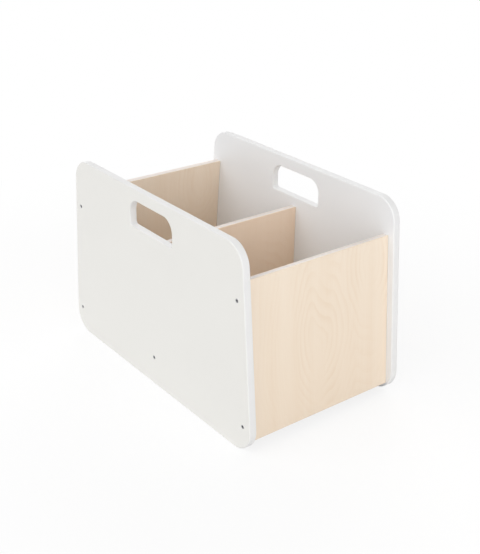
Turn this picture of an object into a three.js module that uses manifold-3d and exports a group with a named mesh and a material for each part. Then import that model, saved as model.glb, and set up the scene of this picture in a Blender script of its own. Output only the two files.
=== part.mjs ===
// Browser bin: two white side boards, two leaning birch end panels, a birch divider and a floor
// board, held together by countersunk screws and wooden dowels.
// Millimetres. +X is the bin's right, -Y its front, +Z up. The origin is on the ground,
// below the middle of the bin.
import * as THREE from 'three';
import { mergeVertices } from 'three/addons/utils/BufferGeometryUtils.js';
import Module from 'manifold-3d';

const wasm = await Module();
wasm.setup();

// Whole bin
const WIDTH = 352;
const HEIGHT = 382;
const BOTTOM_DEPTH = 600;
const TOP_DEPTH = 534;

// White side boards
const SIDE_THICKNESS = 15;
const SIDE_CORNER_RADIUS = 44;
const SIDE_EDGE_RADIUS = 2;

// Hand-hold slot in each side board, with round upper corners and almost square lower ones
const SLOT_LENGTH = 137;
const SLOT_HEIGHT = 52;
const SLOT_UPPER_RADIUS = 26;
const SLOT_LOWER_RADIUS = 6;
const SLOT_TOP_MARGIN = 22.5;

// Birch front and back panels
const PANEL_THICKNESS = 12;
const PANEL_SETBACK = 14;
const PANEL_GROUND_CLEARANCE = 20;
const PANEL_TOP_DROP = 66.5;

// Birch divider across the middle
const DIVIDER_THICKNESS = 12;
const DIVIDER_TOP_DROP = 93;

// Birch floor board
const FLOOR_THICKNESS = 12;
const FLOOR_GROUND_CLEARANCE = 52;

// Arris of the birch boards
const BIRCH_EDGE_RADIUS = 0.7;

// Countersunk screws with a hexagon socket
const SCREW_LENGTH = 45;
const SCREW_SHANK_DIAMETER = 4.5;
const SCREW_HEAD_DIAMETER = 7.5;
const SCREW_HEAD_SINK = 0.2;
const SCREW_TIP_LENGTH = 4;
const SOCKET_ACROSS_FLATS = 3.5;
const SOCKET_DEPTH = 2.2;
const LOW_SCREW_RISE = 32;
const HIGH_SCREW_DROP = 31.5;

// Wooden dowels
const DOWEL_DIAMETER = 6;
const DOWEL_LENGTH = 30;
const DOWEL_CHAMFER = 1;
const DOWEL_HOLE_COVER = 4;
const DIVIDER_DOWEL_MARGIN = 45;
const FLOOR_DOWEL_MARGIN = 60;

// Fits
const BOARD_GAP = 0.2;
const HOLE_GAP = 0.3;

// Fineness of the round stretches
const CORNER_STEPS = 5;
const EDGE_STEPS = 3;
const FASTENER_SIDES = 16;
const SOCKET_SIDES = 6;

// Sizes that follow from those above
const LEAN = Math.atan((BOTTOM_DEPTH - TOP_DEPTH) / 2 / HEIGHT);
const INNER_WIDTH = WIDTH - 2 * SIDE_THICKNESS;
const BOARD_WIDTH = INNER_WIDTH - 2 * BOARD_GAP;
const FLOOR_TOP = FLOOR_GROUND_CLEARANCE + FLOOR_THICKNESS;
const FLOOR_MIDDLE = FLOOR_GROUND_CLEARANCE + FLOOR_THICKNESS / 2;
const DIVIDER_TOP = HEIGHT - DIVIDER_TOP_DROP;
const DIVIDER_BOTTOM = FLOOR_TOP + BOARD_GAP;

const FINISHES = {
  white: { color: 0xe9e8e4, roughness: 0.42, metalness: 0 },
  birch: { color: 0xecdac2, roughness: 0.55, metalness: 0 },
  beech: { color: 0xd8b98f, roughness: 0.7, metalness: 0 },
  steel: { color: 0x8b8d90, roughness: 0.35, metalness: 1 },
};
const SIDES = { left: -1, right: 1 };
const OTHER_SIDE = { left: 'right', right: 'left' };

// A named piece with a material of its own.
function piece(name, geometry, finish) {
  const mesh = new THREE.Mesh(geometry, new THREE.MeshStandardMaterial(FINISHES[finish]));
  mesh.name = name;
  return mesh;
}

// A closed geometry as a solid that can be cut.
function solid(geometry) {
  const bare = geometry.clone();
  bare.deleteAttribute('normal');
  bare.deleteAttribute('uv');
  const merged = mergeVertices(bare);
  const index = merged.index.array;
  const triangles = [];
  for (let i = 0; i < index.length; i += 3) {
    const corners = [index[i], index[i + 1], index[i + 2]];
    if (new Set(corners).size === corners.length) triangles.push(...corners);
  }
  const vertProperties = new Float32Array(merged.attributes.position.array);
  const triVerts = new Uint32Array(triangles);
  return new wasm.Manifold(new wasm.Mesh({ numProp: 3, vertProperties, triVerts }));
}

// A cut solid as a geometry again.
function surface(body) {
  const mesh = body.getMesh();
  const geometry = new THREE.BufferGeometry();
  geometry.setAttribute('position', new THREE.BufferAttribute(mesh.vertProperties, mesh.numProp));
  geometry.setIndex(new THREE.BufferAttribute(mesh.triVerts, 1));
  geometry.computeVertexNormals();
  return geometry;
}

// Draws a polygon, given anticlockwise as [x, y, radius] corners, into a path with its corners rounded.
function roundedOutline(path, corners) {
  const points = corners.map(([x, y]) => new THREE.Vector2(x, y));
  corners.forEach(([, , radius], i) => {
    const corner = points[i];
    const before = points.at(i - 1).clone().sub(corner).normalize();
    const after = points[(i + 1) % points.length].clone().sub(corner).normalize();
    const half = Math.acos(before.dot(after)) / 2;
    const middle = before.clone().add(after).setLength(radius / Math.sin(half)).add(corner);
    const turn = Math.PI / 2 - half;
    const facing = Math.atan2(corner.y - middle.y, corner.x - middle.x);
    path.absarc(middle.x, middle.y, radius, facing - turn, facing + turn, false);
  });
  path.closePath();
  return path;
}

// A board of the given outline, centred on its middle plane, with both its arrises rounded.
function roundedBoard(shape, thickness, edgeRadius) {
  const depth = thickness - 2 * edgeRadius;
  const geometry = new THREE.ExtrudeGeometry(shape, {
    depth,
    curveSegments: CORNER_STEPS,
    bevelEnabled: true,
    bevelThickness: edgeRadius,
    bevelSize: edgeRadius,
    bevelOffset: -edgeRadius,
    bevelSegments: EDGE_STEPS,
  });
  return geometry.translate(0, 0, -depth / 2);
}

// Turns a shape drawn in depth and height so that its thickness runs across the bin.
function faceSideways(geometry) {
  const across = new THREE.Vector3(1, 0, 0);
  const back = new THREE.Vector3(0, 1, 0);
  const up = new THREE.Vector3(0, 0, 1);
  return geometry.applyMatrix4(new THREE.Matrix4().makeBasis(back, up, across));
}

// An upright birch board between the sides, centred on the origin, its faces to front and back.
function birchBoard(height, thickness) {
  const shape = new THREE.Shape();
  shape.moveTo(-BOARD_WIDTH / 2, -height / 2);
  shape.lineTo(BOARD_WIDTH / 2, -height / 2);
  shape.lineTo(BOARD_WIDTH / 2, height / 2);
  shape.lineTo(-BOARD_WIDTH / 2, height / 2);
  shape.closePath();
  return roundedBoard(shape, thickness, BIRCH_EDGE_RADIUS).rotateX(Math.PI / 2);
}

// The depth, at a height, of a plane that leans with the front and lies so far behind the front edge.
function leaningPlane(setback, height) {
  return -BOTTOM_DEPTH / 2 + setback / Math.cos(LEAN) + height * Math.tan(LEAN);
}

// One side board, standing at its own place.
function sideBoard(side) {
  const outline = new THREE.Shape();
  roundedOutline(outline, [
    [-BOTTOM_DEPTH / 2, 0, SIDE_CORNER_RADIUS],
    [BOTTOM_DEPTH / 2, 0, SIDE_CORNER_RADIUS],
    [TOP_DEPTH / 2, HEIGHT, SIDE_CORNER_RADIUS],
    [-TOP_DEPTH / 2, HEIGHT, SIDE_CORNER_RADIUS],
  ]);
  const slotTop = HEIGHT - SLOT_TOP_MARGIN;
  const slotBottom = slotTop - SLOT_HEIGHT;
  const upperRadius = Math.min(SLOT_UPPER_RADIUS, SLOT_HEIGHT - SLOT_LOWER_RADIUS, SLOT_LENGTH / 2);
  const slot = roundedOutline(new THREE.Path(), [
    [-SLOT_LENGTH / 2, slotBottom, SLOT_LOWER_RADIUS],
    [SLOT_LENGTH / 2, slotBottom, SLOT_LOWER_RADIUS],
    [SLOT_LENGTH / 2, slotTop, upperRadius],
    [-SLOT_LENGTH / 2, slotTop, upperRadius],
  ]);
  outline.holes.push(slot);
  const geometry = faceSideways(roundedBoard(outline, SIDE_THICKNESS, SIDE_EDGE_RADIUS));
  const board = piece(`side_${side}`, geometry, 'white');
  board.position.x = SIDES[side] * (WIDTH - SIDE_THICKNESS) / 2;
  return board;
}

// A shape turned about the X axis from a profile of [distance along, radius] points.
function turned(profile) {
  const points = profile.map(([along, radius]) => new THREE.Vector2(radius, -along));
  return new THREE.LatheGeometry(points.reverse(), FASTENER_SIDES).rotateZ(Math.PI / 2);
}

// A screw that points along +X, with its head's face at the origin.
function screwGeometry() {
  const head = SCREW_HEAD_DIAMETER / 2;
  const shank = SCREW_SHANK_DIAMETER / 2;
  const neck = head - shank;
  const body = turned([
    [0, 0],
    [0, head],
    [neck, shank],
    [SCREW_LENGTH - SCREW_TIP_LENGTH, shank],
    [SCREW_LENGTH, 0],
  ]);
  const socketRadius = SOCKET_ACROSS_FLATS / Math.sqrt(3);
  const socket = new THREE.CylinderGeometry(socketRadius, socketRadius, 2 * SOCKET_DEPTH, SOCKET_SIDES);
  return surface(solid(body).subtract(solid(socket.rotateZ(Math.PI / 2))));
}

// The hole that a screw sits in: its own shape with room all round, open at the head.
function screwHole() {
  const head = SCREW_HEAD_DIAMETER / 2 + HOLE_GAP;
  const shank = SCREW_SHANK_DIAMETER / 2 + HOLE_GAP;
  const mouth = -SCREW_HEAD_DIAMETER;
  return turned([
    [mouth, 0],
    [mouth, head],
    [0, head],
    [head - shank, shank],
    [SCREW_LENGTH + HOLE_GAP, shank],
    [SCREW_LENGTH + HOLE_GAP, 0],
  ]);
}

// A dowel along X, centred on the origin, with chamfered ends.
function dowelGeometry() {
  const [end, radius] = [DOWEL_LENGTH / 2, DOWEL_DIAMETER / 2];
  return turned([
    [-end, 0],
    [-end, radius - DOWEL_CHAMFER],
    [-end + DOWEL_CHAMFER, radius],
    [end - DOWEL_CHAMFER, radius],
    [end, radius - DOWEL_CHAMFER],
    [end, 0],
  ]);
}

// The hole that a dowel sits in.
function dowelHole() {
  const [end, radius] = [DOWEL_LENGTH / 2 + HOLE_GAP, DOWEL_DIAMETER / 2 + HOLE_GAP];
  return turned([
    [-end, 0],
    [-end, radius],
    [end, radius],
    [end, 0],
  ]);
}

// Cuts into a board the holes of the fasteners that enter it.
function drill(board, fasteners) {
  board.updateWorldMatrix(true, false);
  const toBoard = board.matrixWorld.clone().invert();
  let body = solid(board.geometry);
  for (const { mesh, hole } of fasteners) {
    mesh.updateWorldMatrix(true, false);
    const place = toBoard.clone().multiply(mesh.matrixWorld);
    body = body.subtract(solid(hole.clone().applyMatrix4(place)));
  }
  board.geometry = surface(body);
}

const bin = new THREE.Group();
const SCREW = { geometry: screwGeometry(), hole: screwHole(), finish: 'steel' };
const DOWEL = { geometry: dowelGeometry(), hole: dowelHole(), finish: 'beech' };

// Adds one fastener to a group and lists it for the boards that it joins.
function fasten(group, kind, name, position, turn, boards) {
  const mesh = piece(name, kind.geometry.clone(), kind.finish);
  mesh.position.set(...position);
  mesh.rotation.z = turn;
  group.add(mesh);
  boards.forEach((list) => list.push({ mesh, hole: kind.hole }));
}

// A screw through one side board, along the width, in a group whose own left is given by its sign.
function sideScrew(group, name, sign, depth, height, boards) {
  const face = sign * (WIDTH / 2 - SCREW_HEAD_SINK);
  fasten(group, SCREW, name, [face, depth, height], sign > 0 ? Math.PI : 0, boards);
}

// Fasteners that enter each board
const enters = {
  side_left: [],
  side_right: [],
  front_panel: [],
  back_panel: [],
  divider: [],
  floor_board: [],
};

const boards = {};
for (const side of Object.keys(SIDES)) {
  boards[`side_${side}`] = sideBoard(side);
  bin.add(boards[`side_${side}`]);
}

// The front panel and its screws lean with the front edges; the back is the same, turned round.
for (const [end, turn] of [['front', 0], ['back', Math.PI]]) {
  const facing = new THREE.Group();
  facing.rotation.z = turn;
  const leaning = new THREE.Group();
  leaning.position.y = -BOTTOM_DEPTH / 2;
  leaning.rotation.x = -LEAN;
  facing.add(leaning);
  bin.add(facing);

  const bottom = PANEL_GROUND_CLEARANCE / Math.cos(LEAN) + PANEL_SETBACK * Math.tan(LEAN);
  const top = (HEIGHT - PANEL_TOP_DROP) / Math.cos(LEAN) + PANEL_SETBACK * Math.tan(LEAN);
  const middleDepth = PANEL_SETBACK + PANEL_THICKNESS / 2;
  const panel = piece(`${end}_panel`, birchBoard(top - bottom, PANEL_THICKNESS), 'birch');
  panel.position.set(0, middleDepth, (bottom + top) / 2);
  leaning.add(panel);
  boards[`${end}_panel`] = panel;

  for (const [place, height] of [['low', bottom + LOW_SCREW_RISE], ['high', top - HIGH_SCREW_DROP]]) {
    for (const [ownSide, sign] of Object.entries(SIDES)) {
      const side = turn ? OTHER_SIDE[ownSide] : ownSide;
      const into = [enters[`side_${side}`], enters[`${end}_panel`]];
      sideScrew(leaning, `${end}_screw_${side}_${place}`, sign, middleDepth, height, into);
    }
  }
}

// The floor board's ends are cut to lean with the end panels.
const floorReach = PANEL_SETBACK + PANEL_THICKNESS + BOARD_GAP;
const floorShape = new THREE.Shape();
floorShape.moveTo(leaningPlane(floorReach, FLOOR_GROUND_CLEARANCE), FLOOR_GROUND_CLEARANCE);
floorShape.lineTo(-leaningPlane(floorReach, FLOOR_GROUND_CLEARANCE), FLOOR_GROUND_CLEARANCE);
floorShape.lineTo(-leaningPlane(floorReach, FLOOR_TOP), FLOOR_TOP);
floorShape.lineTo(leaningPlane(floorReach, FLOOR_TOP), FLOOR_TOP);
floorShape.closePath();
const floorSlab = new THREE.ExtrudeGeometry(floorShape, { depth: BOARD_WIDTH, bevelEnabled: false });
floorSlab.translate(0, 0, -BOARD_WIDTH / 2);
boards.floor_board = piece('floor_board', faceSideways(floorSlab), 'birch');
bin.add(boards.floor_board);
for (const [side, sign] of Object.entries(SIDES)) {
  sideScrew(bin, `floor_screw_${side}`, sign, 0, FLOOR_MIDDLE, [enters[`side_${side}`], enters.floor_board]);
}

// Dowels join the floor board's ends to the end panels.
const floorEnd = leaningPlane(floorReach, FLOOR_MIDDLE);
const floorDowelDepth = floorEnd - (PANEL_THICKNESS - DOWEL_HOLE_COVER) + DOWEL_LENGTH / 2;
for (const [end, sign] of [['front', 1], ['back', -1]]) {
  for (const [side, across] of Object.entries(SIDES)) {
    const place = [across * (INNER_WIDTH / 2 - FLOOR_DOWEL_MARGIN), sign * floorDowelDepth, FLOOR_MIDDLE];
    const into = [enters[`${end}_panel`], enters.floor_board];
    fasten(bin, DOWEL, `floor_dowel_${end}_${side}`, place, Math.PI / 2, into);
  }
}

// The divider stands on the floor board, and dowels join its ends to the sides.
const dividerHeight = DIVIDER_TOP - DIVIDER_BOTTOM;
boards.divider = piece('divider', birchBoard(dividerHeight, DIVIDER_THICKNESS), 'birch');
boards.divider.position.z = (DIVIDER_TOP + DIVIDER_BOTTOM) / 2;
bin.add(boards.divider);
const dividerDowelReach = INNER_WIDTH / 2 + (SIDE_THICKNESS - DOWEL_HOLE_COVER) - DOWEL_LENGTH / 2;
const dividerDowelHeights = {
  low: DIVIDER_BOTTOM + DIVIDER_DOWEL_MARGIN,
  high: DIVIDER_TOP - DIVIDER_DOWEL_MARGIN,
};
for (const [place, height] of Object.entries(dividerDowelHeights)) {
  for (const [side, sign] of Object.entries(SIDES)) {
    const into = [enters[`side_${side}`], enters.divider];
    fasten(bin, DOWEL, `divider_dowel_${side}_${place}`, [sign * dividerDowelReach, 0, height], 0, into);
  }
}

for (const [name, board] of Object.entries(boards)) drill(board, enters[name]);

export default bin;
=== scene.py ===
"""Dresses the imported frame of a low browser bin: lacquered sides, birch plywood boards, screws and dowels.

Metres, in the frame's own axes: +X is the bin's right, -Y its front, +Z up, with the origin on the ground.
"""
import math

import bmesh
import bpy
from bpy.props import FloatProperty, FloatVectorProperty, IntProperty, PointerProperty
from mathutils import Euler, Matrix, Vector


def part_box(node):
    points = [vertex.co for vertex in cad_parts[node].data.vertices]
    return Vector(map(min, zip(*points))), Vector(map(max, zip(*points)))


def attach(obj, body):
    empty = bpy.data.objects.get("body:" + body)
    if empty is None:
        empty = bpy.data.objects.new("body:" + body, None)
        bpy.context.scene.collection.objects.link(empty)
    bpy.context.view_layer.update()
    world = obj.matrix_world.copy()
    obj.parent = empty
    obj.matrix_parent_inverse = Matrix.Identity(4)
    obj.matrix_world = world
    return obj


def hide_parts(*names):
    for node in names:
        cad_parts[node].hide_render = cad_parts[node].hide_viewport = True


bl_info = {
    "name": "Browser Bin",
    "version": (1, 0, 0),
    "blender": (4, 5, 0),
    "location": "View3D > Sidebar > Browser Bin",
    "description": "Builds a browser bin of lacquered sides and birch plywood boards around its frame",
    "category": "Add Mesh",
}

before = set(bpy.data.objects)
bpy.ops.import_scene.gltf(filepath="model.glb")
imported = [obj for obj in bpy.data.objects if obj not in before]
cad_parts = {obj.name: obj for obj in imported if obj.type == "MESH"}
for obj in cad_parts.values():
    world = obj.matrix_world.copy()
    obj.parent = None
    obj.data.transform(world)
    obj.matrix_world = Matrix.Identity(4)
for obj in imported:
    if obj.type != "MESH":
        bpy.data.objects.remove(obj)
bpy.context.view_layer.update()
BODY = "root"
SIDES = ("left", "right")
ENDS = ("front", "back")


def extent(node):
    """The size of a frame node along X, Y and Z."""
    low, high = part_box(node)
    return high - low


def middle(node):
    """The centre of a frame node's box."""
    low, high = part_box(node)
    return (low + high) / 2


def nodes_named(word):
    """The frame's nodes whose names hold a word, in order."""
    return [name for name in sorted(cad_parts) if word in name]


# Sizes and colours

def length(name, description, default):
    """A property for one length in metres."""
    return FloatProperty(name=name, description=description, default=default, min=0, precision=4,
                         subtype="DISTANCE", unit="LENGTH")


def tint(name, description, default):
    """A property for one linear colour."""
    return FloatVectorProperty(name=name, description=description, default=default, min=0, max=1,
                               subtype="COLOR", size=3)


class BinSideSizes(bpy.types.PropertyGroup):
    """Sizes of the two lacquered side boards."""

    bottom_depth: length("Bottom Depth", "Depth along the ground, before the corners are rounded", 0.600)
    top_depth: length("Top Depth", "Depth along the top, before the corners are rounded", 0.534)
    height: length("Height", "Height of a side board", extent("side_left").z)
    thickness: length("Thickness", "Thickness of a side board", extent("side_left").x)
    corner_radius: length("Corner Radius", "Radius of the four corners", 0.044)
    edge_radius: length("Edge Radius", "Radius of the rounded arrises", 0.002)
    slot_length: length("Slot Length", "Length of the hand-hold slot", 0.137)
    slot_height: length("Slot Height", "Height of the hand-hold slot", 0.052)
    slot_upper_radius: length("Slot Upper Radius", "Radius of the hand-hold slot's upper corners", 0.026)
    slot_lower_radius: length("Slot Lower Radius", "Radius of the hand-hold slot's lower corners", 0.006)
    slot_margin: length("Slot Margin", "Wood left above the hand-hold slot", 0.0225)


class BinBirchSizes(bpy.types.PropertyGroup):
    """Sizes of the birch plywood boards."""

    width: length("Width", "Width of every birch board between the sides", extent("divider").x)
    thickness: length("Thickness", "Thickness of the end panels", 0.012)
    setback: length("Setback", "How far the end panels stand behind the sides' edges", 0.014)
    ground_clearance: length("Ground Clearance", "Height of the end panels' lower edges", 0.020)
    top_drop: length("Top Drop", "How far the end panels end below the sides' tops", 0.0665)
    corner_radius: length("Corner Radius", "Radius of the boards' corners", 0.0013)
    edge_radius: length("Edge Radius", "Radius of the eased arrises", 0.0007)
    ply: length("Ply", "Thickness of one veneer of the plywood", 0.012 / 9)


class BinScrewSizes(bpy.types.PropertyGroup):
    """Sizes of the countersunk screws and of the holes for screws and dowels."""

    head_diameter: length("Head Diameter", "Diameter of the countersunk head", 0.0075)
    shank_diameter: length("Shank Diameter", "Diameter of the shank", 0.0045)
    shank_length: length("Length", "Length from head to tip", extent("floor_screw_left").x)
    tip_length: length("Tip Length", "Length of the pointed tip", 0.004)
    rim_radius: length("Rim Radius", "Radius of the head's rim", 0.00012)
    across_flats: length("Across Flats", "Size of the hexagon socket", 0.0035)
    socket_depth: length("Socket Depth", "Depth of the hexagon socket", 0.0022)
    hole_gap: length("Hole Gap", "Room left round a screw or a dowel", 0.0003)


class BinFinishes(bpy.types.PropertyGroup):
    """Colours of the finishes."""

    lacquer_face: tint("Lacquer Face", "White of the sides' outer faces", (0.804, 0.795, 0.763))
    # Painted light: the inner faces are a lighter, cooler white than the outer faces, which lifts the shade
    # inside the bin and cancels the warm light from the birch.
    lacquer_inner_painted_light: tint("Lacquer Inner", "Cooler white of the sides' inner faces", (0.840, 0.849, 0.861))
    # The edges' white is partly their own spray and partly painted light: lighter and more neutral than the
    # outer faces, as the light falls on them.
    lacquer_edge: tint("Lacquer Edge", "White of the sides' sprayed edges", (0.838, 0.835, 0.832))
    birch_pale: tint("Birch Pale", "Early wood of the birch face veneer", (0.928, 0.813, 0.680))
    birch_dark: tint("Birch Dark", "Late wood of the birch face veneer", (0.830, 0.668, 0.504))
    ply_long: tint("Ply Long", "Plies seen along their grain at an edge", (0.955, 0.900, 0.862))
    ply_end: tint("Ply End", "Plies seen on their end grain at an edge", (0.850, 0.768, 0.715))
    ply_glue: tint("Ply Glue", "Glue lines between the plies", (0.600, 0.500, 0.435))
    zinc: tint("Zinc", "Dull zinc plate of the screws", (0.340, 0.345, 0.360))
    # Painted shade: the dark at the bottom of the sockets.
    socket_shade: tint("Socket Shade", "Dark bottom of the sockets", (0.060, 0.060, 0.065))
    beech_pale: tint("Beech Pale", "Early wood of the beech dowels", (0.700, 0.500, 0.300))
    beech_dark: tint("Beech Dark", "Late wood of the beech dowels", (0.520, 0.330, 0.180))


class BinStageSettings(bpy.types.PropertyGroup):
    """The camera, the light and the ground of the studio."""

    camera_place: FloatVectorProperty(name="Camera Place", description="Where the camera stands", size=3,
                                      default=(-1.02309, -1.35751, 0.99266), subtype="TRANSLATION")
    camera_yaw: FloatProperty(name="Camera Yaw", description="Turn of the camera about the vertical",
                              default=math.radians(-37.74), subtype="ANGLE")
    camera_pitch: FloatProperty(name="Camera Pitch", description="How far the camera looks down",
                                default=math.radians(25.61), subtype="ANGLE")
    camera_roll: FloatProperty(name="Camera Roll", description="Tilt of the camera about its own axis",
                               default=math.radians(0.76), subtype="ANGLE")
    focal_pixels: FloatProperty(name="Focal Pixels", description="Focal length in pixels of the picture",
                                default=969)
    picture_height: IntProperty(name="Picture Height", description="Longer side of the picture in pixels",
                                default=554, subtype="PIXEL")
    sky: FloatProperty(name="Sky", description="Strength of the light from all round", default=0.41)
    left_lamp: FloatProperty(name="Left Lamp", description="Strength of the wide lamp at the left",
                             default=1.47)
    left_spread: FloatProperty(name="Left Spread", description="Angle that the lamp at the left fills",
                               default=math.radians(70), subtype="ANGLE")
    front_lamp: FloatProperty(name="Front Lamp", description="Power of the large lamp in front", default=95,
                              subtype="POWER", unit="POWER")
    fill_lamp: FloatProperty(name="Fill Lamp", description="Strength of the wide lamp behind", default=1.60)
    fill_spread: FloatProperty(name="Fill Spread", description="Angle that the wide lamp behind fills",
                               default=math.radians(45), subtype="ANGLE")
    ground: tint("Ground", "Colour that the ground throws back", (0.80, 0.80, 0.80))


class BinSettings(bpy.types.PropertyGroup):
    """Everything that can be changed about the bin."""

    sides: PointerProperty(type=BinSideSizes)
    birch: PointerProperty(type=BinBirchSizes)
    screws: PointerProperty(type=BinScrewSizes)
    finishes: PointerProperty(type=BinFinishes)
    stage: PointerProperty(type=BinStageSettings)


# Node graphs written as expressions

class Value:
    """An output of a node. Arithmetic on it adds Math nodes to its graph."""

    def __init__(self, graph, socket):
        self.graph = graph
        self.socket = socket

    def __getitem__(self, name):
        """Another output of the same node."""
        return Value(self.graph, self.socket.node.outputs[name])

    def __add__(self, other):
        return self.graph.math("ADD", self, other)

    def __radd__(self, other):
        return self.graph.math("ADD", other, self)

    def __sub__(self, other):
        return self.graph.math("SUBTRACT", self, other)

    def __rsub__(self, other):
        return self.graph.math("SUBTRACT", other, self)

    def __mul__(self, other):
        return self.graph.math("MULTIPLY", self, other)

    def __rmul__(self, other):
        return self.graph.math("MULTIPLY", other, self)

    def __truediv__(self, other):
        return self.graph.math("DIVIDE", self, other)


class Graph:
    """A node tree to which expressions add nodes."""

    def __init__(self, tree):
        self.tree = tree

    def node(self, kind, settings=None, sockets=None, out=0):
        """Adds a node, with its settings first and then its sockets' values or links, and gives an output."""
        node = self.tree.nodes.new(kind)
        for name, setting in (settings or {}).items():
            if name == "choices":
                for _ in range(setting - len(node.index_switch_items)):
                    node.index_switch_items.new()
            else:
                setattr(node, name, setting)
        for name, value in (sockets or {}).items():
            socket = next(s for s in node.inputs if s.identifier == name)
            for item in value if isinstance(value, list) else [value]:
                self.feed(socket, item)
        return Value(self, node.outputs[out]) if node.outputs else None

    def feed(self, socket, value):
        """Links a socket to another node's output, or sets its value."""
        if isinstance(value, Value):
            self.tree.links.new(value.socket, socket)
        elif socket.type == "RGBA":
            socket.default_value = (*value, 1)
        else:
            socket.default_value = value

    def math(self, operation, *operands):
        """One Math node."""
        names = ("Value", "Value_001", "Value_002")
        return self.node("ShaderNodeMath", {"operation": operation}, dict(zip(names, operands)))

    def vector(self, x, y, z):
        """A vector of three values."""
        return self.node("ShaderNodeCombineXYZ", sockets={"X": x, "Y": y, "Z": z})

    def parts(self, vector):
        """The X, Y and Z of a vector."""
        xyz = self.node("ShaderNodeSeparateXYZ", sockets={"Vector": vector})
        return xyz["X"], xyz["Y"], xyz["Z"]

    def shown(self):
        """1 for the rays that show a surface as it is seen, 0 for those that only carry its light."""
        ray = self.node("ShaderNodeLightPath")
        mirrored = self.math("MAXIMUM", ray["Is Glossy Ray"], ray["Is Transmission Ray"])
        return self.math("MAXIMUM", ray["Is Camera Ray"], mirrored)


class MaterialGraph(Graph):
    """The nodes of a new material."""

    def __init__(self, name):
        self.material = bpy.data.materials.new(name)
        self.material.use_nodes = True
        super().__init__(self.material.node_tree)
        self.tree.nodes.clear()

    def object_place(self):
        """The place on the object, in the frame."""
        return self.node("ShaderNodeTexCoord", out="Object")

    def scaled(self, vector, factors):
        """A vector with each part multiplied by its own factor."""
        return self.node("ShaderNodeVectorMath", {"operation": "MULTIPLY"},
                         {"Vector": vector, "Vector_001": factors})

    def norm(self, vector):
        """The length of a vector."""
        return self.node("ShaderNodeVectorMath", {"operation": "LENGTH"}, {"Vector": vector}, out="Value")

    def noise(self, vector, scale, detail, roughness=0.5):
        """Smooth noise about one half, with so many features to a metre."""
        return self.node("ShaderNodeTexNoise", {"noise_dimensions": "3D"},
                         {"Vector": vector, "Scale": scale, "Detail": detail, "Roughness": roughness})

    def stretched(self, vector, features, detail, roughness=0.5):
        """Noise about one half with so many features to a metre along X, Y and Z."""
        return self.noise(self.scaled(vector, features), 1.0, detail, roughness)

    def grain(self, vector, across, along, detail, roughness=0.5):
        """Noise about one half with so many features to a metre across the grain, which runs along Z."""
        return self.stretched(vector, (across, across, along), detail, roughness)

    def step(self, value, low, high):
        """A smooth step from 0 at low to 1 at high."""
        return self.node("ShaderNodeMapRange", {"interpolation_type": "SMOOTHSTEP"},
                         {"Value": value, "From Min": low, "From Max": high})

    def blend(self, factor, first, second):
        """A colour between two colours."""
        return self.node("ShaderNodeMix", {"data_type": "RGBA"},
                         {"Factor_Float": factor, "A_Color": first, "B_Color": second}, out="Result")

    def bump(self, height, distance):
        """A normal that follows a height, given in shares of a distance."""
        return self.node("ShaderNodeBump", sockets={"Height": height, "Distance": distance, "Strength": 1.0})

    def shade(self, **sockets):
        """Ends the material in its shader."""
        named = {name.replace("_", " ").title(): value for name, value in sockets.items()}
        shader = self.node("ShaderNodeBsdfPrincipled", sockets=named)
        self.node("ShaderNodeOutputMaterial", sockets={"Surface": shader})
        return self.material


class ShapeGraph(Graph):
    """A Geometry Nodes tree with named inputs."""

    def __init__(self, name):
        super().__init__(bpy.data.node_groups.new(name, "GeometryNodeTree"))
        self.asked = self.tree.nodes.new("NodeGroupInput")

    def ask(self, name, kind="Float"):
        """A new named input."""
        self.tree.interface.new_socket(name, in_out="INPUT", socket_type=f"NodeSocket{kind}")
        return Value(self, self.asked.outputs[name])

    def give(self, shape, material):
        """Ends the tree in real geometry with its material."""
        real = self.node("GeometryNodeRealizeInstances", sockets={"Geometry": shape})
        coated = self.node("GeometryNodeSetMaterial", sockets={"Geometry": real, "Material": material})
        self.tree.interface.new_socket("Shape", in_out="OUTPUT", socket_type="NodeSocketGeometry")
        end = self.tree.nodes.new("NodeGroupOutput")
        self.tree.links.new(coated.socket, end.inputs["Shape"])
        return self.tree


SHARP_ANGLE = math.radians(35)


def made(name, tree, inputs, points=()):
    """A plain mesh object from a Geometry Nodes tree, its inputs by name and its starting points."""
    carrier_mesh = bpy.data.meshes.new(name)
    carrier_mesh.from_pydata(points, [], [])
    carrier = bpy.data.objects.new(name + "_carrier", carrier_mesh)
    bpy.context.scene.collection.objects.link(carrier)
    modifier = carrier.modifiers.new("Shape", "NODES")
    modifier.node_group = tree
    for item in tree.interface.items_tree:
        if item.in_out == "INPUT" and item.name in inputs:
            modifier[item.identifier] = inputs[item.name]
    depsgraph = bpy.context.evaluated_depsgraph_get()
    mesh = bpy.data.meshes.new_from_object(carrier.evaluated_get(depsgraph), depsgraph=depsgraph)
    bpy.data.objects.remove(carrier)
    if not mesh.polygons:
        raise RuntimeError(f"{name} came out empty")
    mesh.name = name
    mesh.materials.clear()
    mesh.materials.append(inputs["Material"])
    mesh.shade_smooth()
    mesh.set_sharp_from_angle(angle=SHARP_ANGLE)
    piece = bpy.data.objects.new(name, mesh)
    bpy.context.scene.collection.objects.link(piece)
    return piece


def settle(piece, slot, *nodes):
    """Lets a finished piece stand for frame nodes, on the bin's body; its slot is not used."""
    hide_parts(*nodes)
    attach(piece, BODY)


# Boards

# The flat strip round a board's faces, and the distance at which two points become one
FLAT_MARGIN = 0.0004
WELD = 0.00001


def rounded(g, outline, radius, steps):
    """A closed outline with its corners rounded."""
    return g.node("GeometryNodeFilletCurve", {"mode": "POLY"},
                  {"Curve": outline, "Count": steps, "Radius": radius, "Limit Radius": True})


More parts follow.
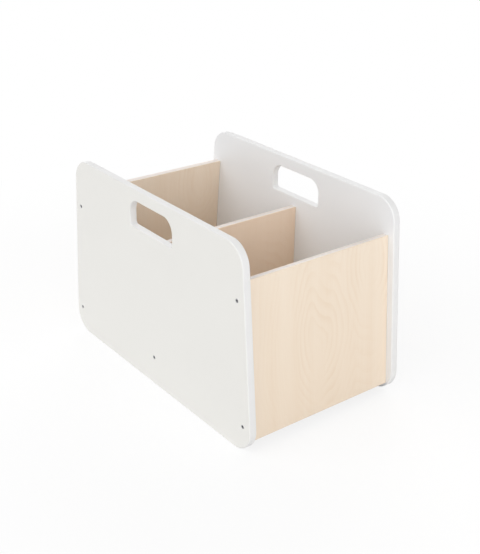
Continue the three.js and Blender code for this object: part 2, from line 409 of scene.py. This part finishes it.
def edge_profile(g, thickness, radius, steps):
    """A board's edge in section: a flat margin, a round arris, the edge, and the same again."""
    last = steps * 2 + 3
    index = g.node("GeometryNodeInputIndex")
    inward = g.math("MINIMUM", index, last - index)
    turn = g.math("MAXIMUM", inward - 1, 0) / steps * (math.pi / 2)
    out = radius * (g.math("SINE", turn) - 1) - FLAT_MARGIN * g.math("LESS_THAN", inward, 0.5)
    up = g.math("SIGN", last / 2 - index) * (thickness / 2 - radius * (1 - g.math("COSINE", turn)))
    line = g.node("GeometryNodeMeshLine", sockets={"Count": last + 1})
    bent = g.node("GeometryNodeSetPosition", sockets={"Geometry": line, "Position": g.vector(out, up, 0)})
    return g.node("GeometryNodeMeshToCurve", sockets={"Mesh": bent})


def board_tree():
    """A board with rounded corners and arrises, and a slot if it has a length, drilled and in its place."""
    g = ShapeGraph("Rounded board")
    thickness = g.ask("Thickness")
    steps = g.ask("Corner Steps", "Int")
    sizes = {"Height": g.ask("Height"), "Bottom Width": g.ask("Bottom Width"),
             "Top Width": g.ask("Top Width"), "Offset": 0}
    trapezoid = g.node("GeometryNodeCurvePrimitiveQuadrilateral", {"mode": "TRAPEZOID"}, sizes)
    outline = rounded(g, trapezoid, g.ask("Corner Radius"), steps)

    slot_length = g.ask("Slot Length")
    slot_sizes = {"Width": slot_length, "Height": g.ask("Slot Height")}
    oblong = g.node("GeometryNodeCurvePrimitiveQuadrilateral", {"mode": "RECTANGLE"}, slot_sizes)
    in_upper_half = g.math("GREATER_THAN", g.parts(g.node("GeometryNodeInputPosition"))[1], 0)
    lower_radius = g.ask("Slot Lower Radius")
    slot_radius = lower_radius + (g.ask("Slot Upper Radius") - lower_radius) * in_upper_half
    slot = rounded(g, oblong, slot_radius, steps)
    rise = g.vector(0, g.ask("Slot Rise"), 0)
    slot = g.node("GeometryNodeTransform", sockets={"Geometry": slot, "Translation": rise})
    slot = g.node("GeometryNodeReverseCurve", sockets={"Curve": slot})
    slotted = g.math("GREATER_THAN", slot_length, 0)
    slot = g.node("GeometryNodeSwitch", {"input_type": "GEOMETRY"}, {"Switch": slotted, "True": slot})

    path = g.node("GeometryNodeJoinGeometry", sockets={"Geometry": [outline, slot]})
    path = g.node("GeometryNodeSetCurveNormal", {"mode": "Z_UP"}, {"Curve": path})
    profile = edge_profile(g, thickness, g.ask("Edge Radius"), g.ask("Edge Steps", "Int"))
    rim = g.node("GeometryNodeCurveToMesh", sockets={"Curve": path, "Profile Curve": profile, "Scale": 1.0})
    rim = g.node("GeometryNodeFlipFaces", sockets={"Mesh": rim})

    open_edge = g.math("LESS_THAN", g.node("GeometryNodeInputMeshEdgeNeighbors"), 1.5)
    height = g.parts(g.node("GeometryNodeInputPosition"))[2]
    upper_loop = open_edge * g.math("GREATER_THAN", height, 0)
    loop = g.node("GeometryNodeMeshToCurve", sockets={"Mesh": rim, "Selection": upper_loop})
    face = g.node("GeometryNodeFillCurve", {"mode": "NGONS"}, {"Curve": loop})
    lift = g.vector(0, 0, thickness / 2)
    top = g.node("GeometryNodeTransform", sockets={"Geometry": face, "Translation": lift})
    sink = g.vector(0, 0, thickness / -2)
    bottom = g.node("GeometryNodeTransform", sockets={"Geometry": face, "Translation": sink})
    bottom = g.node("GeometryNodeFlipFaces", sockets={"Mesh": bottom})
    board = g.node("GeometryNodeJoinGeometry", sockets={"Geometry": [rim, top, bottom]})
    board = g.node("GeometryNodeMergeByDistance", sockets={"Geometry": board, "Distance": WELD})

    place = {"Translation": g.ask("Location", "Vector"), "Rotation": g.ask("Rotation", "Vector")}
    board = g.node("GeometryNodeTransform", sockets={"Geometry": board, **place})
    holes = g.node("GeometryNodeObjectInfo", sockets={"Object": g.ask("Drillings", "Object")}, out="Geometry")
    drilled = g.node("GeometryNodeMeshBoolean", {"operation": "DIFFERENCE", "solver": "EXACT"},
                     {"Mesh 1": board, "Mesh 2": holes})
    return g.give(drilled, g.ask("Material", "Material"))


# Screws and drillings

HOLE_SIDES = 32
SCREW_SIDES = 40
# The head's rim turns from its flat face into the countersink
RIM_STEPS = 5
RIM_TURN = math.radians(135)
TIP_RADIUS = 0.0002
# How far the socket's mouth is eased, in shares of its corner radius
MOUTH_EASE = 0.2
SPIN_SEED = 7


def screw_heads():
    """The centres of the screw heads' faces."""
    heads = []
    for node in nodes_named("_screw_"):
        low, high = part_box(node)
        centre = (low + high) / 2
        heads.append(Vector((low.x if centre.x < 0 else high.x, centre.y, centre.z)))
    return heads


def add_turned(shape, place, profile):
    """Adds a solid turned about its own X to a mesh, from pairs of distance along and radius."""
    rings = []
    for along, radius in profile:
        turns = [2 * math.pi * k / HOLE_SIDES for k in range(HOLE_SIDES)]
        points = [Vector((along, radius * math.cos(t), radius * math.sin(t))) for t in turns]
        rings.append([shape.verts.new(place @ point) for point in points])
    for near, far in zip(rings, rings[1:]):
        for k in range(HOLE_SIDES):
            shape.faces.new((near[k], near[k - 1], far[k - 1], far[k]))
    shape.faces.new(rings[0])
    shape.faces.new(reversed(rings[-1]))


def drillings(sizes):
    """One object with the holes of all the screws and dowels, as solids to cut away."""
    shape = bmesh.new()
    head = sizes.head_diameter / 2 + sizes.hole_gap
    shank = sizes.shank_diameter / 2 + sizes.hole_gap
    end = sizes.shank_length + sizes.hole_gap
    screw_hole = [(-sizes.head_diameter, head), (0, head), (head - shank, shank), (end, shank)]
    for point in screw_heads():
        turn = Matrix.Rotation(0 if point.x < 0 else math.pi, 4, "Z")
        add_turned(shape, Matrix.Translation(point) @ turn, screw_hole)
    for node in nodes_named("_dowel_"):
        size = extent(node)
        lengthwise = size.y > size.x
        reach = max(size) / 2 + sizes.hole_gap
        radius = size.z / 2 + sizes.hole_gap
        turn = Matrix.Rotation(math.pi / 2 if lengthwise else 0, 4, "Z")
        add_turned(shape, Matrix.Translation(middle(node)) @ turn, [(-reach, radius), (reach, radius)])
    bmesh.ops.recalc_face_normals(shape, faces=shape.faces)
    mesh = bpy.data.meshes.new("drillings")
    shape.to_mesh(mesh)
    shape.free()
    holes = bpy.data.objects.new("drillings", mesh)
    bpy.context.scene.collection.objects.link(holes)
    return holes


def turned(g, profile):
    """A closed shape turned about X, from pairs of distance along and radius."""
    index = g.node("GeometryNodeInputIndex")

    def chosen(values):
        items = {f"Item_{k}": value for k, value in enumerate(values)}
        return g.node("GeometryNodeIndexSwitch", {"data_type": "FLOAT", "choices": len(values)},
                      {"Index": index, **items})

    line = g.node("GeometryNodeMeshLine", sockets={"Count": len(profile)})
    place = g.vector(chosen([along for along, _ in profile]), 0, 0)
    axis = g.node("GeometryNodeSetPosition", sockets={"Geometry": line, "Position": place})
    axis = g.node("GeometryNodeMeshToCurve", sockets={"Mesh": axis})
    ring = g.node("GeometryNodeCurvePrimitiveCircle", sockets={"Resolution": SCREW_SIDES, "Radius": 1.0})
    radius = chosen([radius for _, radius in profile])
    return g.node("GeometryNodeCurveToMesh",
                  sockets={"Curve": axis, "Profile Curve": ring, "Scale": radius, "Fill Caps": True})


def screw_tree():
    """Countersunk screws with a hexagon socket, one for each head point, pointing into the bin."""
    g = ShapeGraph("Countersunk screws")
    heads = g.ask("Heads", "Geometry")
    head = g.ask("Head Diameter") / 2
    shank = g.ask("Shank Diameter") / 2
    long = g.ask("Length")
    rim = g.ask("Rim Radius")
    flats = g.ask("Across Flats")
    depth = g.ask("Socket Depth")

    rim_turns = [RIM_TURN * k / RIM_STEPS for k in range(RIM_STEPS + 1)]
    rim_middle = head - rim * (1 + math.sqrt(2))
    profile = [(rim * (1 - math.cos(turn)), rim_middle + rim * math.sin(turn)) for turn in rim_turns]
    profile += [(head - shank, shank), (long - g.ask("Tip Length"), shank), (long, TIP_RADIUS)]
    body = turned(g, profile)

    corner = flats / math.sqrt(3)
    hexagon = g.node("GeometryNodeMeshCylinder",
                     sockets={"Vertices": 6, "Radius": corner, "Depth": depth * 2})
    hexagon = g.node("GeometryNodeTransform",
                     sockets={"Geometry": hexagon, "Rotation": Euler((0, math.pi / 2, 0))})
    mouth = turned(g, [(corner * -MOUTH_EASE, corner * (1 + MOUTH_EASE)),
                       (corner * MOUTH_EASE, corner * (1 - MOUTH_EASE))])
    body = g.node("GeometryNodeMeshBoolean", {"operation": "DIFFERENCE", "solver": "EXACT"},
                  {"Mesh 1": body, "Mesh 2": [hexagon, mouth]})
    body = g.node("GeometryNodeStoreNamedAttribute", {"data_type": "FLOAT_VECTOR", "domain": "POINT"},
                  {"Geometry": body, "Name": "own_place", "Value": g.node("GeometryNodeInputPosition")})

    on_right = g.math("GREATER_THAN", g.parts(g.node("GeometryNodeInputPosition"))[0], 0)
    spin = g.node("FunctionNodeRandomValue", {"data_type": "FLOAT"},
                  {"Min_001": 0.0, "Max_001": math.pi, "Seed": SPIN_SEED}, out=1)
    turn = g.vector(spin, 0, on_right * math.pi)
    screws = g.node("GeometryNodeInstanceOnPoints",
                    sockets={"Points": heads, "Instance": body, "Rotation": turn})
    return g.give(screws, g.ask("Material", "Material"))


# Finishes

LACQUER_SHADE = (0.70, 0.69, 0.66)
# One year ring of the birch's figure at an eye, in metres, and over how many rings two eyes run together
RING_ACROSS = 0.0102
RING_ALONG = 0.0230
RING_MERGE = 1.5
# How far the figure is bent, in metres
SWAY = 0.050
RIPPLE = 0.008
LIFT = 0.100
# The eyes of each board's figure, across and along it from its middle
EYES = {
    "front": ((-0.004, 0.012), (0.118, 0.105)),
    "back": ((0.052, -0.031), (-0.110, 0.120)),
    "divider": ((0.071, -0.120), (-0.095, 0.060)),
    "floor": ((-0.090, 0.110), (0.080, -0.160)),
}
PLAIN_VENEER = (1.0, 1.0, 1.0)
ROSY_VENEER = (1.04, 0.985, 0.960)
ZINC_BLOOM = (0.50, 0.50, 0.51)
# The turning marks on a screw's face, in radians to a metre, the depth at which they end, and the radii
# between which the painted shade of the socket ends
MARKS = 42000.0
FACE_DEPTH = (0.0001, 0.0003)
SOCKET_RIM = (0.0021, 0.0023)
BEECH_ACROSS = (20.0, 700.0, 700.0)
BEECH_LENGTHWISE = (700.0, 20.0, 700.0)


def lacquer(sides, finishes):
    """Satin white lacquer: faint orange peel on the faces, a more matt and fibrous coat on the edges, and
    painted light in the lighter whites of the inner faces and the edges.
    """
    g = MaterialGraph("white_lacquer")
    place = g.object_place()
    across, _, _ = g.parts(place)
    board_middle = abs(middle("side_left").x)
    outward = g.math("ABSOLUTE", across) - board_middle
    edge = g.step(sides.thickness / 2 - g.math("ABSOLUTE", outward), 0.0, sides.edge_radius * 0.6)
    drift = g.noise(place, scale=9.0, detail=3.0)
    peel = g.noise(place, scale=380.0, detail=2.0)
    fibre = g.stretched(place, (1400.0, 260.0, 260.0), detail=3.0)
    # Painted light: the inner faces and the edges get lighter whites than the outer faces.
    faces = g.blend(g.math("GREATER_THAN", outward, 0), finishes.lacquer_inner_painted_light, finishes.lacquer_face)
    colour = g.blend(edge, faces, finishes.lacquer_edge)
    shaded = g.blend((drift - 0.5) * 0.16, colour, LACQUER_SHADE)
    height = peel * (1 - edge) + fibre * edge * 1.6
    return g.shade(base_color=shaded, roughness=0.36 + (drift - 0.5) * 0.14 + edge * 0.22,
                   normal=g.bump(height, distance=0.000012))


def ovals(g, across, along, eye):
    """How many year rings lie between a point of the veneer and an eye of its figure."""
    return g.norm(g.vector((across - eye[0]) / RING_ACROSS, 0, (along - eye[1]) / RING_ALONG))


def birch_face(g, across, through, along, eyes, pale, dark):
    """A figured veneer with upright grain: its colour, its late wood, its fibre and its pores."""
    # The eyes give each board's noise a place of its own
    own = g.vector(across + eyes[0][0] * 9, through + eyes[1][1] * 3, along + eyes[1][0] * 7)
    sway = g.grain(own, across=10.0, along=3.0, detail=2.0)
    ripple = g.grain(own, across=48.0, along=12.0, detail=2.0)
    lift = g.grain(own, across=14.0, along=5.0, detail=1.0)
    bent_across = across + (sway - 0.5) * SWAY + (ripple - 0.5) * RIPPLE
    bent_along = along + (lift - 0.5) * LIFT
    rings = g.math("SMOOTH_MIN", ovals(g, bent_across, bent_along, eyes[0]),
                   ovals(g, bent_across, bent_along, eyes[1]), RING_MERGE)
    ring = g.math("FRACT", rings)
    late = g.step(ring, 0.30, 0.92) * (1 - g.step(ring, 0.92, 1.0))

    # The rings fade at the eyes, far from them and in patches
    clear = g.step(g.grain(own, across=16.0, along=5.0, detail=2.0), 0.36, 0.68)
    clear = clear * (0.35 + 0.65 * g.step(rings, 0.8, 3.2)) * (1 - 0.6 * g.step(rings, 4.5, 8.5))

    # The share of dark wood grows in late wood, in bands, on fibres and in pores, and towards the foot, where
    # it is painted shade
    bands = g.grain(own, across=36.0, along=1.6, detail=3.0)
    fibre = g.grain(own, across=800.0, along=15.0, detail=3.0, roughness=0.6)
    pores = g.step(g.grain(own, across=1900.0, along=110.0, detail=1.0), 0.66, 0.74)
    grain_and_foot_shade = 0.40 - along * 0.75
    grain_and_foot_shade = grain_and_foot_shade + late * clear * 0.30 + (bands - 0.5) * 0.55 + (fibre - 0.5) * 0.40 + pores * 0.20
    return g.blend(grain_and_foot_shade, pale, dark), late, fibre, pores


def birch_plies(g, local, depth, ply, finishes):
    """Plies by their depth below a face: their colour, which of them show end grain, and their specks."""
    layer = depth / ply
    even = 1 - g.math("MODULO", g.math("FLOOR", layer), 2)
    in_layer = g.math("FRACT", layer)
    glue = g.math("MAXIMUM", 1 - g.step(in_layer, 0.02, 0.10), g.step(in_layer, 0.90, 0.98))
    speck = g.stretched(local, (500.0, 900.0, 500.0), detail=2.0)
    plies = g.blend(even, finishes.ply_long, finishes.ply_end)
    plies = g.blend((speck - 0.35) * 0.5, plies, finishes.ply_glue)
    return g.blend(glue * 0.55, plies, finishes.ply_glue), even, speck


def birch(name, place, turn, sizes, finishes, thickness, eyes, veneer=PLAIN_VENEER):
    """Matt lacquered birch plywood: a figured veneer on its faces, and its plies at the edges."""
    g = MaterialGraph(name)
    pale = tuple(part * share for part, share in zip(finishes.birch_pale, veneer))
    dark = tuple(part * share for part, share in zip(finishes.birch_dark, veneer))
    local = g.node("ShaderNodeMapping", {"vector_type": "TEXTURE"},
                   {"Vector": g.object_place(), "Location": place, "Rotation": turn})
    across, through, along = g.parts(local)
    face, late, fibre, pores = birch_face(g, across, through, along, eyes, pale, dark)
    plies, even, speck = birch_plies(g, local, through + thickness / 2, sizes.ply, finishes)
    inside = thickness / 2 - g.math("ABSOLUTE", through)
    core = g.step(inside, sizes.ply * 0.93, sizes.ply * 1.02)
    height = fibre * 0.6 - pores * 0.9 + late * 0.3 - core * even * speck * 1.2
    return g.shade(base_color=g.blend(core, face, plies),
                   roughness=0.52 + (fibre - 0.5) * 0.18 + core * 0.08,
                   normal=g.bump(height, distance=0.00003))


def zinc(finishes, sizes):
    """Dull zinc plate with faint turning marks, and painted shade down in the socket."""
    g = MaterialGraph("zinc_plate")
    own = g.node("ShaderNodeAttribute", {"attribute_name": "own_place"}, out="Vector")
    along, one, other = g.parts(own)
    radius = g.norm(g.vector(0, one, other))
    patches = g.noise(g.object_place(), scale=900.0, detail=3.0)
    # Painted shade: the bottom of the socket is darkened.
    painted_socket_shade = g.step(along, FACE_DEPTH[1], sizes.socket_depth) * (1 - g.step(radius, *SOCKET_RIM))
    marks = g.math("SINE", radius * MARKS) * (1 - g.step(along, *FACE_DEPTH))
    colour = g.blend((patches - 0.4) * 0.5, finishes.zinc, ZINC_BLOOM)
    colour = g.blend(painted_socket_shade, colour, finishes.socket_shade)
    return g.shade(base_color=colour, metallic=1.0, roughness=0.38 + (patches - 0.5) * 0.3,
                   normal=g.bump(marks * 0.5 + patches, distance=0.000008))


def beech(name, features, finishes):
    """Bare beech with fine flecks along the grain, from its features to a metre along X, Y and Z."""
    g = MaterialGraph(name)
    place = g.object_place()
    grain = g.stretched(place, features, detail=3.0)
    fleck = g.step(g.stretched(place, tuple(part * 2.5 for part in features), detail=1.0), 0.60, 0.70)
    colour = g.blend(grain * 0.7 + fleck * 0.3, finishes.beech_pale, finishes.beech_dark)
    return g.shade(base_color=colour, roughness=0.68 + (grain - 0.5) * 0.2,
                   normal=g.bump(grain - fleck * 0.5, distance=0.00004))


# Operators

def bin_lean(sides):
    """How far the front and back edges lean inwards."""
    return math.atan((sides.bottom_depth - sides.top_depth) / 2 / sides.height)


def bin_board(name, material, holes, **sizes):
    """A board from its finish, its drillings and its sizes."""
    inputs = {key.replace("_", " ").title(): value for key, value in sizes.items()}
    inputs.update({"Material": material, "Drillings": holes})
    return made(name, bpy.data.node_groups.get("Rounded board") or board_tree(), inputs)


def bin_holes(settings):
    """The drillings, made once for all the boards."""
    return bpy.data.objects.get("drillings") or drillings(settings.screws)


SIDEWAYS = (math.pi / 2, 0.0, math.pi / 2)
# What keeps the finely rounded sides inside the frame's box at each end
HAIR = 0.00015
# Steps of the rounded corners and arrises
SIDE_STEPS = 24
SIDE_EDGE_STEPS = 8
BIRCH_STEPS = 4


class BIN_OT_sides(bpy.types.Operator):
    """Build the two lacquered side boards with their hand-hold slots"""

    bl_idname = "browser_bin.sides"
    bl_label = "Side Boards"
    bl_options = {"REGISTER", "UNDO"}

    def execute(self, context):
        settings = context.scene.browser_bin
        sizes = settings.sides
        white = lacquer(sizes, settings.finishes)
        for side in SIDES:
            node = f"side_{side}"
            board = bin_board(
                f"lacquered_{node}", white, bin_holes(settings),
                bottom_width=sizes.bottom_depth - 2 * HAIR, top_width=sizes.top_depth - 2 * HAIR,
                height=sizes.height, thickness=sizes.thickness,
                corner_radius=sizes.corner_radius, edge_radius=sizes.edge_radius,
                slot_length=sizes.slot_length, slot_height=sizes.slot_height,
                slot_upper_radius=sizes.slot_upper_radius, slot_lower_radius=sizes.slot_lower_radius,
                slot_rise=sizes.height / 2 - sizes.slot_margin - sizes.slot_height / 2,
                corner_steps=SIDE_STEPS, edge_steps=SIDE_EDGE_STEPS,
                location=middle(node), rotation=SIDEWAYS)
            settle(board, "white_board", node)
        return {"FINISHED"}


class BIN_OT_end_panels(bpy.types.Operator):
    """Build the birch front and back panels, which lean with the sides"""

    bl_idname = "browser_bin.end_panels"
    bl_label = "End Panels"
    bl_options = {"REGISTER", "UNDO"}

    def execute(self, context):
        settings = context.scene.browser_bin
        sizes = settings.birch
        lean = bin_lean(settings.sides)
        foot = sizes.setback * math.tan(lean)
        bottom = sizes.ground_clearance / math.cos(lean) + foot
        top = (settings.sides.height - sizes.top_drop) / math.cos(lean) + foot
        depth = sizes.setback + sizes.thickness / 2
        rise = (bottom + top) / 2
        for end, turn in zip(ENDS, (0.0, math.pi)):
            leaning = Matrix.Rotation(turn, 4, "Z")
            leaning @= Matrix.Translation((0, -settings.sides.bottom_depth / 2, 0))
            leaning @= Matrix.Rotation(-lean, 4, "X")
            place = leaning @ Vector((0, depth, rise))
            tilt = leaning.to_euler()
            wood = birch(f"birch_{end}", place, tilt, sizes, settings.finishes, sizes.thickness, EYES[end])
            panel = bin_board(
                f"birch_{end}_panel", wood, bin_holes(settings),
                bottom_width=sizes.width, top_width=sizes.width, height=top - bottom,
                thickness=sizes.thickness, corner_radius=sizes.corner_radius, edge_radius=sizes.edge_radius,
                corner_steps=BIRCH_STEPS, edge_steps=BIRCH_STEPS,
                location=place, rotation=(math.pi / 2 - lean, 0.0, turn))
            settle(panel, "birch", f"{end}_panel")
        return {"FINISHED"}


class BIN_OT_divider(bpy.types.Operator):
    """Build the birch divider across the middle"""

    bl_idname = "browser_bin.divider"
    bl_label = "Divider"
    bl_options = {"REGISTER", "UNDO"}

    def execute(self, context):
        settings = context.scene.browser_bin
        sizes = settings.birch
        size = extent("divider")
        place = middle("divider")
        wood = birch("birch_divider", place, Euler(), sizes, settings.finishes, size.y, EYES["divider"],
                     ROSY_VENEER)
        board = bin_board(
            "birch_divider_board", wood, bin_holes(settings),
            bottom_width=size.x, top_width=size.x, height=size.z, thickness=size.y,
            corner_radius=sizes.corner_radius, edge_radius=sizes.edge_radius,
            corner_steps=BIRCH_STEPS, edge_steps=BIRCH_STEPS,
            location=place, rotation=(math.pi / 2, 0.0, 0.0))
        settle(board, "birch", "divider")
        return {"FINISHED"}


class BIN_OT_floor(bpy.types.Operator):
    """Build the birch floor board, its ends cut to lean with the end panels"""

    bl_idname = "browser_bin.floor"
    bl_label = "Floor Board"
    bl_options = {"REGISTER", "UNDO"}

    def execute(self, context):
        settings = context.scene.browser_bin
        sizes = settings.birch
        size = extent("floor_board")
        place = middle("floor_board")
        lengthwise = Euler((math.pi / 2, 0, 0))
        wood = birch("birch_floor", place, lengthwise, sizes, settings.finishes, size.z, EYES["floor"])
        narrowing = 2 * size.z * math.tan(bin_lean(settings.sides))
        board = bin_board(
            "birch_floor_board", wood, bin_holes(settings),
            bottom_width=size.y, top_width=size.y - narrowing, height=size.z, thickness=size.x,
            corner_radius=sizes.corner_radius, edge_radius=sizes.edge_radius,
            corner_steps=BIRCH_STEPS, edge_steps=BIRCH_STEPS,
            location=place, rotation=SIDEWAYS)
        settle(board, "birch", "floor_board")
        return {"FINISHED"}


class BIN_OT_screws(bpy.types.Operator):
    """Build the ten countersunk screws"""

    bl_idname = "browser_bin.screws"
    bl_label = "Screws"
    bl_options = {"REGISTER", "UNDO"}

    def execute(self, context):
        settings = context.scene.browser_bin
        sizes = settings.screws
        inputs = {
            "Head Diameter": sizes.head_diameter, "Shank Diameter": sizes.shank_diameter,
            "Length": sizes.shank_length, "Tip Length": sizes.tip_length, "Rim Radius": sizes.rim_radius,
            "Across Flats": sizes.across_flats, "Socket Depth": sizes.socket_depth,
            "Material": zinc(settings.finishes, sizes),
        }
        screws = made("countersunk_screws", screw_tree(), inputs, screw_heads())
        settle(screws, "screw_steel", *nodes_named("_screw_"))
        return {"FINISHED"}


class BIN_OT_dowels(bpy.types.Operator):
    """Give the hidden dowels their beech"""

    bl_idname = "browser_bin.dowels"
    bl_label = "Dowels"
    bl_options = {"REGISTER", "UNDO"}

    def execute(self, context):
        finishes = context.scene.browser_bin.finishes
        woods = {
            "divider_dowel": beech("beech_across", BEECH_ACROSS, finishes),
            "floor_dowel": beech("beech_lengthwise", BEECH_LENGTHWISE, finishes),
        }
        for word, wood in woods.items():
            for node in nodes_named(word):
                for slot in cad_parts[node].material_slots:
                    slot.material = wood
        return {"FINISHED"}


WHITE = (1, 1, 1)
FLOOR_REACH = 6.0
# The ground shows as mostly plain white, and as nothing else beyond the far radius
GROUND_WHITE = 0.82
GROUND_NEAR = 0.45
GROUND_FAR = 1.2
# Painted shade: under the bin the ground is given a dark colour, so that it throws little light back, up to
# this share of the way to the boards
SHELTER = 0.94
UNDER_BIN_PAINTED_SHADE = (0.10, 0.10, 0.10)
LEFT_LAMP = Vector((-2.37, 0.27, 1.82))
FRONT_LAMP = Vector((-0.70, -3.84, 0.70))
FRONT_LAMP_SIZE = 5.0
FILL_LAMP = Vector((1.98, 2.10, 0.81))
SENSOR_WIDTH = 36.0


def studio_ground(colour):
    """A pale ground that shows as white with the soft shadow of what stands on it, and with painted shade in
    the light that it throws back from under the bin.
    """
    g = MaterialGraph("studio_ground")
    shown = g.shown()
    x, y, _ = g.parts(g.object_place())
    far = g.step(g.norm(g.vector(x, y, 0)), GROUND_NEAR, GROUND_FAR)
    across = g.math("ABSOLUTE", x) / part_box("side_right")[0].x
    along = g.math("ABSOLUTE", y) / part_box("back_panel")[1].y
    under_bin_shade_mask = 1 - g.step(g.math("MAXIMUM", across, along), SHELTER, 1.0)
    # Painted shade: the ground under the bin throws back a dark colour.
    bounce_colour_with_painted_shade = g.blend(under_bin_shade_mask, colour, UNDER_BIN_PAINTED_SHADE)
    matt = g.node("ShaderNodeBsdfDiffuse", sockets={"Color": g.blend(shown, bounce_colour_with_painted_shade, WHITE)})
    white = g.node("ShaderNodeEmission", sockets={"Color": WHITE, "Strength": 1.0})
    share = shown * (GROUND_WHITE + far * (1 - GROUND_WHITE))
    mixed = g.node("ShaderNodeMixShader", sockets={"Fac": share, "Shader": matt, "Shader_001": white})
    g.node("ShaderNodeOutputMaterial", sockets={"Surface": mixed})
    return g.material


class BIN_OT_stage(bpy.types.Operator):
    """Set up the ground, the soft light and the camera"""

    bl_idname = "browser_bin.stage"
    bl_label = "Studio"
    bl_options = {"REGISTER", "UNDO"}

    def execute(self, context):
        scene = context.scene
        stage = scene.browser_bin.stage
        scene.view_settings.view_transform = "Standard"
        self.lay_ground(stage, scene)
        self.light(stage, scene)
        self.place_camera(stage, scene)
        return {"FINISHED"}

    def lay_ground(self, stage, scene):
        """Lays a wide plain ground under the bin."""
        corners = [(-FLOOR_REACH, -FLOOR_REACH, 0), (FLOOR_REACH, -FLOOR_REACH, 0),
                   (FLOOR_REACH, FLOOR_REACH, 0), (-FLOOR_REACH, FLOOR_REACH, 0)]
        mesh = bpy.data.meshes.new("studio_ground")
        mesh.from_pydata(corners, [], [(0, 1, 2, 3)])
        mesh.materials.append(studio_ground(stage.ground))
        ground = bpy.data.objects.new("studio_ground", mesh)
        scene.collection.objects.link(ground)

    def light(self, stage, scene):
        """Puts up white surroundings and three soft lamps, the last of them without a reflection."""
        world = bpy.data.worlds.new("studio_sky")
        scene.world = world
        world.use_nodes = True
        g = Graph(world.node_tree)
        g.tree.nodes.clear()
        strength = stage.sky + (1 - stage.sky) * g.shown()
        sky = g.node("ShaderNodeBackground", sockets={"Color": WHITE, "Strength": strength})
        g.node("ShaderNodeOutputWorld", sockets={"Surface": sky})

        front = bpy.data.lights.new("front_lamp", "AREA")
        front.energy = stage.front_lamp
        front.shape = "DISK"
        front.size = FRONT_LAMP_SIZE
        left = bpy.data.lights.new("left_lamp", "SUN")
        left.energy = stage.left_lamp
        left.angle = stage.left_spread
        fill = bpy.data.lights.new("fill_lamp", "SUN")
        fill.energy = stage.fill_lamp
        fill.angle = stage.fill_spread
        for data, place in ((front, FRONT_LAMP), (left, LEFT_LAMP), (fill, FILL_LAMP)):
            lamp = bpy.data.objects.new(data.name, data)
            lamp.location = place
            lamp.rotation_euler = place.to_track_quat("Z", "Y").to_euler()
            lamp.visible_glossy = data is not fill
            scene.collection.objects.link(lamp)

    def place_camera(self, stage, scene):
        """Sets up the camera from its place, its angles and its focal length."""
        data = bpy.data.cameras.new("camera")
        data.sensor_width = SENSOR_WIDTH
        data.lens = stage.focal_pixels / stage.picture_height * SENSOR_WIDTH
        camera = bpy.data.objects.new("camera", data)
        turn = Matrix.Rotation(stage.camera_yaw, 4, "Z")
        turn @= Matrix.Rotation(math.pi / 2 - stage.camera_pitch, 4, "X")
        turn @= Matrix.Rotation(stage.camera_roll, 4, "Z")
        camera.matrix_world = Matrix.Translation(stage.camera_place) @ turn
        scene.collection.objects.link(camera)
        scene.camera = camera


class BIN_PT_build(bpy.types.Panel):
    """Lists the steps that build the bin and its studio"""

    bl_label = "Browser Bin"
    bl_idname = "BIN_PT_build"
    bl_space_type = "VIEW_3D"
    bl_region_type = "UI"
    bl_category = "Browser Bin"

    def draw(self, context):
        column = self.layout.column(align=True)
        for step in STEPS:
            column.operator(step.bl_idname, text=step.bl_label)


SETTINGS = (BinSideSizes, BinBirchSizes, BinScrewSizes, BinFinishes, BinStageSettings, BinSettings)
STEPS = (BIN_OT_sides, BIN_OT_end_panels, BIN_OT_divider, BIN_OT_floor, BIN_OT_screws, BIN_OT_dowels,
         BIN_OT_stage)
CLASSES = (*SETTINGS, *STEPS, BIN_PT_build)


def register():
    """Adds the classes and the bin's settings to Blender."""
    for item in CLASSES:
        bpy.utils.register_class(item)
    bpy.types.Scene.browser_bin = PointerProperty(type=BinSettings)


def unregister():
    """Takes the settings and the classes out of Blender again."""
    del bpy.types.Scene.browser_bin
    for item in reversed(CLASSES):
        bpy.utils.unregister_class(item)


def main():
    """Builds the bin and its studio."""
    register()
    for step in STEPS:
        group, name = step.bl_idname.split(".")
        getattr(getattr(bpy.ops, group), name)()
    bpy.data.objects.remove(bpy.data.objects["drillings"])


if __name__ == "__main__":
    main()
